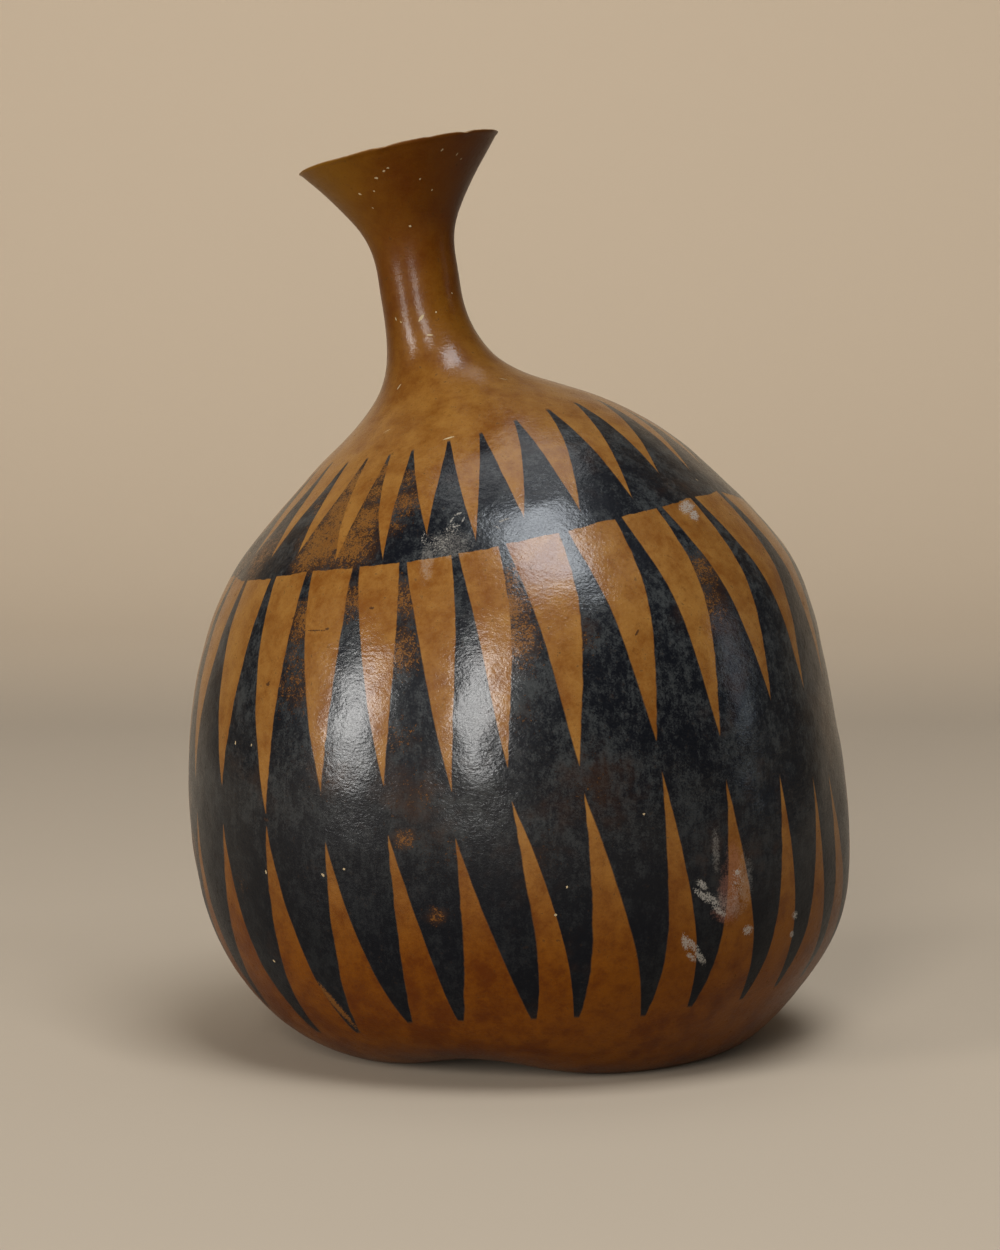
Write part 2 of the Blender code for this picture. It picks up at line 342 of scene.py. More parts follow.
# Name, azimuth and elevation in degrees, distance, width, height, watts, colour.
LIGHTS = (
    ("window_left", -58, 11, 4.0, 1.0, 1.6, 96, (1.0, 0.985, 0.965)),
    ("window_front", -12.5, 17, 4.0, 0.84, 2.2, 110, (1.0, 0.985, 0.965)),
    ("skylight", 24, 65, 2.2, 0.95, 1.15, 45, (0.89, 0.94, 1.0)),
    ("ceiling", 180, 78, 2.4, 1.6, 1.0, 9, (0.97, 0.98, 1.0)),
    ("window_right", 88, 14, 2.5, 0.35, 0.9, 1.6, (0.72, 0.84, 1.0)),
)
WASH_AT, WASH_AIM = (0.0, 1.2, 1.2), (0.0, 2.6, 0.9)
WASH_SIZE, WASH_WATTS = (3.5, 0.6), 25.5


def spline(knots, values, at):
    """A natural cubic spline through values at knots, read at the given places."""
    steps = np.diff(knots)
    slopes = np.diff(values, axis=0) / steps[:, None]
    count = len(knots)
    system = np.eye(count)
    right = np.zeros_like(values)
    for i in range(1, count - 1):
        system[i, i - 1 : i + 2] = steps[i - 1], 2 * (steps[i - 1] + steps[i]), steps[i]
        right[i] = 6 * (slopes[i] - slopes[i - 1])
    bend = np.linalg.solve(system, right)
    i = np.clip(np.searchsorted(knots, at, side="right") - 1, 0, count - 2)
    before = (at - knots[i])[..., None]
    after = (knots[i + 1] - at)[..., None]
    step = steps[i][..., None]
    return (
        (bend[i] * after**3 + bend[i + 1] * before**3) / (6 * step)
        + (values[i] / step - bend[i] * step / 6) * after
        + (values[i + 1] / step - bend[i + 1] * step / 6) * before
    )


def ring_knots():
    """How far along the skin each ring lies, and the rings, the first few mirrored through the foot's middle
    so that the skin is smooth there."""
    rings = np.array(RINGS)
    mirrored = rings[[2, 1]][:, [2, 3, 0, 1, 4, 5]]
    mirrored[:, 4] *= -1
    rings = np.concatenate([mirrored, rings])
    left_steps = np.hypot(*np.diff(rings[:, 0:2], axis=0).T)
    right_steps = np.hypot(*np.diff(rings[:, 2:4], axis=0).T)
    places = np.concatenate([[0.0], np.cumsum((left_steps + right_steps) / 2)])
    return places - places[2], rings


def skin(up, azimuth):
    """Points of the gourd's skin in millimetres, for arrays of shares of the way up it and of azimuths."""
    places, rings = ring_knots()
    columns = np.moveaxis(spline(places, rings, up * places[-1]), -1, 0)
    left_x, left_z, right_x, right_z, half_depth, mid_depth = columns
    across = np.cos(azimuth)
    nod = math.radians(NOD_DEG) * np.clip((up - NOD_FROM) / (1 - NOD_FROM), 0, 1)
    behind = half_depth * np.sin(azimuth)
    x = (left_x + right_x) / 2 + (right_x - left_x) / 2 * across
    y = mid_depth + behind * np.cos(nod)
    z = (left_z + right_z) / 2 + (right_z - left_z) / 2 * across - behind * np.sin(nod)
    return np.stack([x, y, z], axis=-1)


def outward(surface, up, azimuth):
    """Unit normals of a surface(up, azimuth), pointing out of the gourd."""
    small = 1e-4
    held = np.clip(up, 2 * small, 1 - 2 * small)
    along = surface(held + small, azimuth) - surface(held - small, azimuth)
    around = surface(held, azimuth + small) - surface(held, azimuth - small)
    normal = np.cross(around, along)
    return normal / np.linalg.norm(normal, axis=-1, keepdims=True)


def crease_depth(up, azimuth):
    """How deep the foot's creases press in, in millimetres."""
    height = (up / CREASE_DEEPEST) ** 2
    fade = height**2 * np.exp(2 - 2 * height)
    depth = np.zeros_like(up)
    for from_front, half_width, deepest in CREASES:
        middle = math.radians(from_front - 90)
        apart = np.angle(np.exp(1j * (azimuth - middle)))
        depth += deepest * np.exp(-((apart / math.radians(half_width)) ** 2))
    return depth * fade


def outside(up, azimuth):
    """The skin with its creases, its lobes worn flat where they stand."""
    points = skin(up, azimuth) - outward(skin, up, azimuth) * crease_depth(up, azimuth)[..., None]
    points[..., 2] = np.maximum(points[..., 2], 0)
    return points


def rim_plane():
    """The middle and the upward normal of the rim's plane."""
    rim = outside(np.ones(4), np.radians([0.0, 90.0, 180.0, 270.0]))
    normal = np.cross(rim[1] - rim[3], rim[2] - rim[0])
    return rim.mean(axis=0), normal / np.linalg.norm(normal)


def inside(up, azimuth):
    """The wall's inner face, cut off level with the rim."""
    thickness = np.interp(up, *np.array(WALL).T)
    points = outside(up, azimuth) - outward(outside, up, azimuth) * thickness[..., None]
    middle, normal = rim_plane()
    above = (points - middle) @ normal
    return points - np.maximum(above, 0)[..., None] * normal


def dents(points):
    """Shallow dents over the skin, in millimetres, as a sum of slow waves that lie a little sunk in it."""
    rng = np.random.default_rng(7)
    depth = np.zeros(points.shape[:-1])
    for octave in range(DENT_OCTAVES):
        finer = DENT_RATIO**octave
        for _ in range(DENT_WAVES):
            direction = rng.normal(size=3)
            direction /= np.linalg.norm(direction)
            wave = 2 * math.pi / (DENT_SIZE / finer)
            depth += np.sin(points @ direction * wave + rng.uniform(0, 2 * math.pi)) / finer
    return DENT_DEPTH * (depth / DENT_SPREAD - DENT_SINK)


def camera_matrix():
    """Where the camera stands and how it is turned."""
    tilt = Matrix.Rotation(math.radians(90 - CAMERA_DOWN_DEG), 4, "X")
    roll = Matrix.Rotation(math.radians(CAMERA_ROLL_DEG), 4, "Z")
    return Matrix.Translation(CAMERA_AT) @ tilt @ roll


def pixel_ray(x, y):
    """The world direction that a pixel of the photograph's frame looks along."""
    local = Vector((x - FRAME_WIDTH / 2, FRAME_HEIGHT / 2 - y, -FOCAL_PIXELS))
    return (camera_matrix().to_3x3() @ local).normalized()


class Skin:
    """The gourd's outer surface as a grid, with a way to find where a pixel of the photograph meets it."""

    def __init__(self):
        shares = np.linspace(0, 1, SKIN_ROWS + 1)
        shares[0] = FIRST_RING
        azimuths = np.linspace(0, 2 * math.pi, SEGMENTS + 1)
        self.up, self.azimuth = np.meshgrid(shares, azimuths, indexing="ij")
        self.points = outside(self.up, self.azimuth)
        off_the_floor = np.clip(self.points[..., 2:] / DENT_FREE_HEIGHT, 0, 1)
        off_the_rim = np.clip((1 - self.up[..., None]) / DENT_FREE_SHARE, 0, 1)
        normals = outward(outside, self.up, self.azimuth)
        self.points = self.points + normals * dents(self.points)[..., None] * off_the_floor * off_the_rim
        corners = [Vector(point) for point in self.points.reshape(-1, 3) * MM]
        self.tree = BVHTree.FromPolygons(corners, self.quads().tolist())

    def quads(self):
        """Corner indices of the grid's quads, row by row."""
        row, column = np.meshgrid(np.arange(SKIN_ROWS), np.arange(SEGMENTS), indexing="ij")
        first = (row * (SEGMENTS + 1) + column).ravel()
        return np.stack([first, first + 1, first + SEGMENTS + 2, first + SEGMENTS + 1], axis=-1)

    def find(self, x, y):
        """The point, share of the way up and azimuth where a pixel of the photograph meets the skin."""
        place, _, index, _ = self.tree.ray_cast(Vector(CAMERA_AT), pixel_ray(x, y))
        if place is None:
            raise ValueError(f"pixel {x}, {y} misses the gourd")
        corners = self.quads()[index]
        weights = poly_3d_calc([Vector(point) for point in self.points.reshape(-1, 3)[corners] * MM], place)
        up = float(np.dot(weights, self.up.ravel()[corners]))
        azimuth = float(np.dot(weights, self.azimuth.ravel()[corners]))
        return place, up, azimuth


class Row:
    """One row of landmarks all the way round: the photograph's, then slightly uneven ones behind."""

    def __init__(self, surface, landmarks, count, rng):
        found = [surface.find(x, y) for _, x, y in landmarks]
        numbers = [number for number, _, _ in landmarks]
        azimuths = [azimuth for _, _, azimuth in found]
        ups = [up for _, up, _ in found]
        hidden = round(count - (numbers[-1] - numbers[0]))
        gap = 2 * math.pi - (azimuths[-1] - azimuths[0])
        first_up, last_azimuth, last_up = ups[0], azimuths[-1], ups[-1]
        for step in range(1, hidden):
            share = step / hidden
            numbers.append(numbers[-1] + 1)
            azimuths.append(last_azimuth + gap * (share + rng.normal() * UNEVEN_STEP / hidden))
            ups.append(last_up + (first_up - last_up) * share + rng.normal() * UNEVEN_HEIGHT)
        turns = (-1, 0, 1)
        self.azimuths = np.concatenate([np.array(azimuths) + 2 * math.pi * turn for turn in turns])
        self.numbers = np.concatenate([np.array(numbers) + count * turn for turn in turns])
        self.ups = np.tile(ups, len(turns))

    def number(self, azimuth):
        return np.interp(azimuth, self.azimuths, self.numbers)

    def up(self, azimuth):
        return np.interp(azimuth, self.azimuths, self.ups)


def teeth_coordinates(rows, up, azimuth):
    """Coordinates over the skin for teeth laid through rows: the number along them, and how many rows past
    the first one a point lies."""
    ups = [row.up(azimuth) for row in rows]
    numbers = [row.number(azimuth) for row in rows]
    way = np.sign(ups[1] - ups[0])
    along = numbers[0].copy()
    past = np.minimum((up - ups[0]) * way / PAST_REACH, 0)
    for k in range(len(rows) - 1):
        share = (up - ups[k]) / (ups[k + 1] - ups[k])
        within = (share > 0) & (share <= 1)
        along = np.where(within, numbers[k] + (numbers[k + 1] - numbers[k]) * share, along)
        past = np.where(within, k + share, past)
        beyond = share > 1
        along = np.where(beyond, numbers[k + 1], along)
        past = np.where(beyond, k + 1 + np.abs(up - ups[k + 1]) / PAST_REACH, past)
    return along, past


def softly_spotted(points, spots):
    """How far each point lies within soft spots, each a middle, a radius and a strength, in millimetres."""
    field = np.zeros(points.shape[:-1])
    for middle, radius, strength in spots:
        apart = np.linalg.norm(points - middle, axis=-1)
        field = np.maximum(field, strength * np.exp(-((apart / radius) ** 2)))
    return field


def worn_spots(surface):
    """The spots of thin paint that the photograph shows, and some like them behind."""
    spots = []
    for x, y, radius, strength in WORN_SPOTS:
        place, _, _ = surface.find(x, y)
        spots.append((np.array(place) / MM, radius, strength))
    rng = np.random.default_rng(11)
    for _ in range(HIDDEN_SPOTS):
        up = rng.uniform(*HIDDEN_UP)
        azimuth = rng.uniform(*HIDDEN_AZIMUTH)
        middle = outside(np.array([up]), np.array([azimuth]))[0]
        spots.append((middle, rng.uniform(*HIDDEN_RADIUS), rng.uniform(*HIDDEN_STRENGTH)))
    return spots


def rim_chips(surface, azimuth):
    """How far the rim's edge is chipped down at each azimuth, in millimetres."""
    middle, _ = rim_plane()
    depth = np.zeros_like(azimuth)
    for x, y, width, deepest in RIM_CHIPS:
        _, _, chip = surface.find(x, y + BELOW_THE_RIM)
        apart = np.angle(np.exp(1j * (azimuth - chip)))
        across = np.linalg.norm(outside(np.array([1.0]), np.array([chip]))[0] - middle)
        depth += deepest * np.exp(-((apart * across / width) ** 2))
    return depth


def gourd_stack(surface):
    """Rings of points from the foot up the skin, over the rim and back down the hollow, in millimetres."""
    azimuth = np.linspace(0, 2 * math.pi, SEGMENTS, endpoint=False)
    skin_rings = list(surface.points[1:, :-1])
    shares = np.linspace(0, 1, HOLLOW_ROWS + 1)[1:]
    hollow_rings = [inside(np.full(SEGMENTS, share), azimuth) for share in shares]
    _, normal = rim_plane()
    chips = rim_chips(surface, azimuth)[:, None]
    outer, inner = skin_rings.pop(), hollow_rings.pop()
    rim_rings = []
    for share, drop in RIM_ROUNDING:
        chipped = chips * (1 - CHIP_LEVELLING * share)
        rim_rings.append(outer + (inner - outer) * share - normal * (drop + chipped))
    return skin_rings, rim_rings, hollow_rings[::-1]


def fleck_patches(surface, first):
    """Thin ragged patches lying on the skin, in metres, their corners numbered from first on."""
    rng = np.random.default_rng(5)
    corners = np.linspace(0, 2 * math.pi, FLECK_CORNERS, endpoint=False)
    points, faces = [], []
    for x, y, length, width, tilt in FLECKS:
        place, _, _ = surface.find(x, y)
        turn = math.radians(tilt)
        reach = rng.uniform(*FLECK_RAGGED, FLECK_CORNERS) * METRES_PER_PIXEL
        along = np.cos(corners) * length * reach
        aside = np.sin(corners) * width * reach
        right = along * math.cos(turn) - aside * math.sin(turn)
        rise = along * math.sin(turn) + aside * math.cos(turn)
        ring = [place + Vector((x_off, 0, z_off)) for x_off, z_off in zip(right, rise)]
        middle = first + len(points)
        for near in [place] + ring:
            spot, normal, _, _ = surface.tree.find_nearest(near)
            points.append(spot + normal * FLECK_THICKNESS)
        for i in range(FLECK_CORNERS):
            faces.append((middle, middle + 1 + i, middle + 1 + (i + 1) % FLECK_CORNERS))
    return np.array(points), faces


def shell_faces(count, foot_pole, hollow_pole):
    """Quads between the rings of a stack, and the fans that close it at the foot and in the hollow."""
    row, column = np.meshgrid(np.arange(count - 1), np.arange(SEGMENTS), indexing="ij")
    following = (column + 1) % SEGMENTS
    corners = [row * SEGMENTS + column, row * SEGMENTS + following]
    corners += [(row + 1) * SEGMENTS + following, (row + 1) * SEGMENTS + column]
    quads = np.stack(corners, axis=-1).reshape(-1, 4)
    ring = np.arange(SEGMENTS)
    turned = (ring + 1) % SEGMENTS
    top = (count - 1) * SEGMENTS
    foot_fan = np.stack([np.full(SEGMENTS, foot_pole), turned, ring], axis=-1)
    hollow_fan = np.stack([np.full(SEGMENTS, hollow_pole), top + ring, top + turned], axis=-1)
    return quads, foot_fan, hollow_fan


def gourd_mesh(surface):
    """The whole shell as one closed mesh, with the teeth's coordinates and the worn paint laid on it."""
    skin_rings, rim_rings, hollow_rings = gourd_stack(surface)
    stack = np.array(skin_rings + rim_rings + hollow_rings)
    poles = np.array([surface.points[0, 0], inside(np.array([FIRST_RING]), np.zeros(1))[0]])
    points = np.concatenate([stack.reshape(-1, 3), poles]) * MM
    quads, foot_fan, hollow_fan = shell_faces(len(stack), len(points) - 2, len(points) - 1)
    fleck_points, fleck_faces = fleck_patches(surface, len(points))
    points = np.concatenate([points, fleck_points])
    mesh = bpy.data.meshes.new("gourd_shell")
    faces = quads.tolist() + foot_fan.tolist() + hollow_fan.tolist() + fleck_faces
    mesh.from_pydata(points.tolist(), [], faces)
    skin_rows = len(skin_rings)
    quad_counts = np.array([skin_rows, len(rim_rings) - 1, len(hollow_rings)]) * SEGMENTS
    counts = [*quad_counts, SEGMENTS, SEGMENTS, len(fleck_faces)]
    material = np.repeat([SKIN, RIM, HOLLOW, SKIN, HOLLOW, FLECK], counts)
    mesh.polygons.foreach_set("material_index", material.astype(np.int32))
    lay_teeth(mesh, surface, skin_rows)
    lay_field(mesh, "worn", softly_spotted(points / MM, worn_spots(surface)))
    mesh.shade_smooth()
    return mesh


def lay_field(mesh, name, values):
    """Puts one value on each point of a mesh."""
    attribute = mesh.attributes.new(name, "FLOAT", "POINT")
    attribute.data.foreach_set("value", values.astype(np.float32))


def lay_teeth(mesh, surface, skin_rows):
    """Puts both pairs of teeth coordinates on the skin's corners, unbroken where its columns close up."""
    rng = np.random.default_rng(3)
    tall_marks = NECKS, HANGING_WEDGES, STANDING_WEDGES, TALL_TIPS
    short_marks = SHORT_VALLEYS, SHORT_TIPS
    tall_rows = [Row(surface, marks, TALL_COUNT, rng) for marks in tall_marks]
    short_rows = [Row(surface, marks, SHORT_COUNT, rng) for marks in short_marks]
    row, column = np.meshgrid(np.arange(1, skin_rows + 1), np.arange(SEGMENTS), indexing="ij")
    for name, rows in (("tall_teeth", tall_rows), ("short_teeth", short_rows)):
        along, past = teeth_coordinates(rows, surface.up, surface.azimuth)
        layer = mesh.uv_layers.new(name=name)
        loops = np.full((len(mesh.loops), 2), NO_TEETH)
        for corner, (down, right) in enumerate(((0, 0), (0, 1), (1, 1), (1, 0))):
            places = np.arange(row.size) * 4 + corner
            picked = (row + down).ravel(), (column + right).ravel()
            loops[places, 0] = along[picked]
            loops[places, 1] = past[picked]
        layer.data.foreach_set("uv", loops.ravel().astype(np.float32))


class Graph:
    """A material's nodes, with short names for the few sums that it is built from."""

    def __init__(self, name):
        self.material = bpy.data.materials.new(name)
        self.material.use_nodes = True
        self.nodes = self.material.node_tree.nodes
        self.links = self.material.node_tree.links
        self.shader = self.nodes["Principled BSDF"]
        self.place = self.nodes.new("ShaderNodeTexCoord").outputs["Object"]
        split = self.nodes.new("ShaderNodeSeparateXYZ")
        self.links.new(self.place, split.inputs[0])
        self.aside, _, self.height = split.outputs

    def put(self, socket, value):
        """Links a socket to a value that is one itself, or sets it to a number or colour."""
        if isinstance(value, bpy.types.NodeSocket):
            self.links.new(value, socket)
        else:
            socket.default_value = value

    def maths(self, operation, *values):
        node = self.nodes.new("ShaderNodeMath")
        node.operation = operation
        for socket, value in zip(node.inputs, values):
            self.put(socket, value)
        return node.outputs[0]

    def rise(self, value, low, high, bottom=0.0, top=1.0):
        """Goes smoothly from bottom to top as value goes from low to high."""
        node = self.nodes.new("ShaderNodeMapRange")
        node.interpolation_type = "SMOOTHSTEP"
        self.put(node.inputs["Value"], value)
        for name, given in (("From Min", low), ("From Max", high), ("To Min", bottom), ("To Max", top)):
            node.inputs[name].default_value = given
        return node.outputs[0]

    def mixed(self, values, shares, start=0.0):
        """A start with each value's share added to it."""
        total = start
        for value, share in zip(values, shares):
            total = self.maths("MULTIPLY_ADD", value, share, total)
        return total

    def blend(self, share, first, second):
        """Goes from the first colour to the second as share goes from 0 to 1."""
        node = self.nodes.new("ShaderNodeMix")
        node.data_type = "RGBA"
        for index, given in ((0, share), (6, first), (7, second)):
            self.put(node.inputs[index], given)
        return node.outputs[2]

    def noise(self, scale, detail, roughness=0.55, stretch=(1, 1, 1)):
        """Noise from 0 to 1 with the given number of bumps in a metre, or fewer along a stretched axis."""
        vector = self.place
        if stretch != (1, 1, 1):
            mapping = self.nodes.new("ShaderNodeMapping")
            self.put(mapping.inputs["Vector"], self.place)
            mapping.inputs["Scale"].default_value = stretch
            vector = mapping.outputs[0]
        node = self.nodes.new("ShaderNodeTexNoise")
        self.put(node.inputs["Vector"], vector)
        for name, given in (("Scale", scale), ("Detail", detail), ("Roughness", roughness)):
            node.inputs[name].default_value = given
        return node.outputs["Fac"]

    def attribute(self, name):
        node = self.nodes.new("ShaderNodeAttribute")
        node.attribute_name = name
        return node.outputs["Fac"]

    def teeth(self, name):
        """The two coordinates of a layer of teeth."""
        layer = self.nodes.new("ShaderNodeUVMap")
        layer.uv_map = name
        split = self.nodes.new("ShaderNodeSeparateXYZ")
        self.put(split.inputs[0], layer.outputs[0])
        return split.outputs[0], split.outputs[1]

    def marks(self, surface, marks):
        """How deep the surface lies in any of some small marks: 1 in a mark's middle, 0 outside."""
        deepest = None
        for x, y, length, width, tilt in marks:
            place, _, _ = surface.find(x, y)
            reach = [size * METRES_PER_PIXEL for size in (length, MARK_DEPTH * length, width)]
            depth = self.spot(place, reach, tilt)
            deepest = depth if deepest is None else self.maths("MAXIMUM", deepest, depth)
        return deepest

    def spot(self, place, reach, tilt=0):
        """How deep the surface lies in a soft ellipsoid round a place, tilted in the photograph's plane."""
        mapping = self.nodes.new("ShaderNodeMapping")
        mapping.vector_type = "TEXTURE"
        self.put(mapping.inputs["Vector"], self.place)
        mapping.inputs["Location"].default_value = place
        mapping.inputs["Rotation"].default_value = (0, -math.radians(tilt), 0)
        mapping.inputs["Scale"].default_value = reach
        distance = self.nodes.new("ShaderNodeVectorMath")
        distance.operation = "LENGTH"
        self.put(distance.inputs[0], mapping.outputs[0])
        return self.rise(distance.outputs[1], *MARK_EDGE)

    def bump(self, height, distance, normal=None):
        """The normal after a relief as deep as distance, in metres, on top of an earlier one."""
        node = self.nodes.new("ShaderNodeBump")
        node.inputs["Strength"].default_value = 1.0
        node.inputs["Distance"].default_value = distance
        self.put(node.inputs["Height"], height)
        if normal is not None:
            self.put(node.inputs["Normal"], normal)
        return node.outputs[0]


def from_middle(graph, along):
    """How far a point lies from the middle of its tooth: 0 at the middle, 0.5 half-way to the next."""
    shifted = graph.maths("FRACT", graph.maths("ADD", along, 0.5))
    return graph.maths("ABSOLUTE", graph.maths("SUBTRACT", shifted, 0.5))


def tall_teeth(graph, wobble):
    """Where tall teeth were painted, and how many rows past the band's lower edge a point lies."""
    along, past = graph.teeth("tall_teeth")
    along = graph.maths("MULTIPLY_ADD", wobble, HAND_WOBBLE, along)
    past = graph.maths("MULTIPLY_ADD", wobble, HAND_WOBBLE, past)
    aside = from_middle(graph, along)
    fall = graph.maths("POWER", graph.maths("MAXIMUM", past, 0.0), HANG_CURVE)
    hang = graph.maths("MULTIPLY_ADD", fall, 0.5 - NECK_HALF_WIDTH, NECK_HALF_WIDTH)
    left = graph.maths("MAXIMUM", graph.maths("SUBTRACT", TALL_END, past), 0.0)
    left = graph.maths("POWER", left, STAND_CURVE)
    stand = graph.maths("MULTIPLY_ADD", left, 0.5 - TIP_HALF_WIDTH, TIP_HALF_WIDTH)
    width = graph.maths("MINIMUM", hang, stand)
    tall = graph.rise(graph.maths("SUBTRACT", width, aside), -PAINT_EDGE, PAINT_EDGE)
    return graph.maths("MULTIPLY", tall, graph.rise(past, *TALL_CUT)), past


def short_teeth(graph, wobble):
    """Where the short teeth and the band under them were painted."""
    along, past = graph.teeth("short_teeth")
    along = graph.maths("MULTIPLY_ADD", wobble, HAND_WOBBLE, along)
    aside = from_middle(graph, along)
    left = graph.maths("MAXIMUM", graph.maths("SUBTRACT", SHORT_END, past), 0.0)
    width = graph.maths("MULTIPLY_ADD", left, 0.5 - TIP_HALF_WIDTH, TIP_HALF_WIDTH)
    short = graph.rise(graph.maths("SUBTRACT", width, aside), -PAINT_EDGE, PAINT_EDGE)
    return graph.maths("MULTIPLY", short, graph.rise(past, *SHORT_CUT))


def painted_teeth(graph):
    """Where paint was put on: tall teeth below the band's lower edge, the band and short teeth above it."""
    wobble = graph.maths("SUBTRACT", graph.noise(*WOBBLE_NOISE), 0.5)
    tall, past = tall_teeth(graph, wobble)
    below = graph.rise(past, -PAINT_EDGE / 4, PAINT_EDGE / 4)
    above = graph.maths("SUBTRACT", 1.0, below)
    short = graph.maths("MULTIPLY", short_teeth(graph, wobble), above)
    return graph.maths("ADD", graph.maths("MULTIPLY", tall, below), short)


def changed(graph, body, share, tone, tones, dark, light):
    """A colour of the skin that goes over, by a share, to one between a dark and a light colour."""
    return graph.blend(share, body, graph.blend(graph.rise(tone, *tones), dark, light))


def bare_skin(graph):
    """The polished skin's colour: mottled orange brown, darker up the neck and, partly as painted shade, at
    the foot.
    """
    aside, height = graph.aside, graph.height
    broad = graph.noise(*BROAD_NOISE)
    fine, streaks = graph.noise(*TONE_NOISE), graph.noise(*STREAK_NOISE)
    tone = graph.mixed((fine, broad, streaks), TONE_SHARES)
    body = graph.blend(graph.rise(tone, *BODY_TONES), SKIN_DARK, SKIN_LIGHT)
    # The foot goes darker, partly the skin's own colour and partly painted shade where it faces down.
    foot = graph.rise(graph.maths("MULTIPLY_ADD", broad, FOOT_SHIFT, height), *FOOT_CHANGE)
    body = changed(graph, body, foot, tone, END_TONES, SKIN_DARKEST_AND_SHADE, SKIN_LOW_AND_SHADE)
    neck = graph.rise(graph.maths("MULTIPLY_ADD", broad, NECK_SHIFT, height), *NECK_CHANGE)
    body = changed(graph, body, neck, tone, END_TONES, SKIN_MOUTH, SKIN_NECK)
    shifted = graph.maths("MULTIPLY_ADD", broad, MOUTH_SHIFT, aside)
    # Painted shade, partly the skin's own darker colour: the mouth's flare goes darker towards its right
    # side.
    mouth = graph.maths("MULTIPLY", graph.rise(shifted, *MOUTH_CHANGE), graph.rise(height, *MOUTH_FROM))
    body = changed(graph, body, mouth, tone, MOUTH_TONES, SKIN_DARKEST_AND_SHADE, SKIN_MOUTH)
    # Painted light, partly the skin's own olive colour: the flare's upper left side goes lighter.
    lip = graph.maths("MULTIPLY", graph.rise(shifted, *LIP_CHANGE), graph.rise(height, *LIP_FROM))
    body = graph.blend(lip, body, SKIN_LIP_AND_LIGHT)
    grime = graph.rise(graph.noise(*GRIME_NOISE), *GRIME_CHANGE)
    return graph.blend(grime, body, SKIN_GRIME)


class Grains:
    """Noises from 0 to 1 that break up the paint, its wear and the marks, from clouds down to specks."""

    def __init__(self, graph):
        self.cloudy = graph.rise(graph.noise(*CLOUDY_NOISE), *NOISE_SPAN)
        self.mottled = graph.rise(graph.noise(*MOTTLED_NOISE), *MOTTLED_SPAN)
        self.patchy = graph.rise(graph.noise(*PATCHY_NOISE), *NOISE_SPAN)
        self.brushed = graph.rise(graph.noise(*BRUSHED_NOISE), *NOISE_SPAN)
        self.speck = graph.rise(graph.noise(*SPECK_NOISE), *NOISE_SPAN)
        self.grain = graph.mixed((self.speck, self.patchy), GRAIN_SHARES)


def scattered(graph, field, grain, low, high):
    """A soft field broken up by a grain: nothing where their sum is below low, all of it above high."""
    return graph.rise(graph.maths("ADD", field, grain), low, high)


def paint_left(graph, surface, grains):
    """How much of the paint is still there: none where it is worn through or scored."""
    worn = graph.maths("MULTIPLY_ADD", grains.cloudy, CLOUDY_WEAR, graph.attribute("worn"))
    thin = graph.maths("SUBTRACT", graph.maths("MINIMUM", worn, WEAR_MOST), grains.grain)
    scored = scattered(graph, graph.marks(surface, BARE_LINES), grains.speck, *BARE_LINE_SPAN)
    return graph.maths("SUBTRACT", 1.0, graph.maths("MAXIMUM", graph.rise(thin, *GONE_CHANGE), scored))


def paint_colour(graph, grains):
    """The dark paint, dusty in places and brown where it is thin, with less dust low down as painted shade.
    """
    dust = graph.mixed((grains.grain, grains.brushed, grains.mottled, grains.cloudy), DUST_SHARES)
    # Painted shade: the dust fades towards the foot, darkening the paint low down.
    dust = graph.maths("MULTIPLY", graph.rise(dust, *DUST_SPAN), graph.rise(graph.height, *DUST_AND_SHADE_BY_HEIGHT))
    ink = graph.blend(dust, PAINT_DARK, PAINT_DUST)
    under = graph.maths("MULTIPLY_ADD", graph.attribute("worn"), WORN_BROWNING, graph.noise(*UNDER_NOISE))
    return graph.blend(graph.rise(under, *BROWN_CHANGE), ink, PAINT_BROWN)


def painted_skin(graph, surface, grains):
    """The bare skin, stained where it was painted, with what is left of the paint over it."""
    paint = painted_teeth(graph)
    stained = graph.blend(graph.maths("MULTIPLY", paint, STAIN_SHARE), bare_skin(graph), WORN_BROWN)
    cover = graph.maths("MULTIPLY", paint, paint_left(graph, surface, grains))
    return graph.blend(cover, stained, paint_colour(graph, grains))


def chalk_marks(graph, surface, grains):
    """Chalky scrapes, the spatter round them and a thin dusting."""
    chalk = scattered(graph, graph.marks(surface, CHALK), grains.speck, *CHALK_SPAN)
    spatter = scattered(graph, graph.marks(surface, SPATTER), grains.speck, *SPATTER_SPAN)
    dusted = scattered(graph, graph.marks(surface, DUSTED), grains.grain, *DUSTED_SPAN)
    thick = graph.maths("MAXIMUM", chalk, spatter)
    return graph.maths("MAXIMUM", thick, graph.maths("MULTIPLY", dusted, DUSTED_SHARE))


def blossom_scar(graph, surface, grains):
    """The dark scar in the middle of the foot."""
    spot = graph.spot(surface.points[0, 0] * MM, (SCAR_REACH, SCAR_REACH, SCAR_REACH))
    return scattered(graph, spot, grains.patchy, *SCAR_SPAN)


def marked(graph, surface, grains, colour, chalk, scar):
    """A colour with the rubbed patches, the chalk, the dark lines and the scar over it."""
    rubbed = scattered(graph, graph.marks(surface, RUBBED), grains.grain, *RUBBED_SPAN)
    colour = graph.blend(graph.maths("MULTIPLY", rubbed, RUBBED_SHARE), colour, RUBBED_PINK)
    colour = graph.blend(graph.maths("MULTIPLY", chalk, CHALK_SHARE), colour, CHALK_GREY)
    dark = scattered(graph, graph.marks(surface, DARK_LINES), grains.speck, *DARK_LINE_SPAN)
    colour = graph.blend(graph.maths("MULTIPLY", dark, DARK_LINE_SHARE), colour, PAINT_BROWN)
    return graph.blend(scar, colour, SCAR_BROWN)


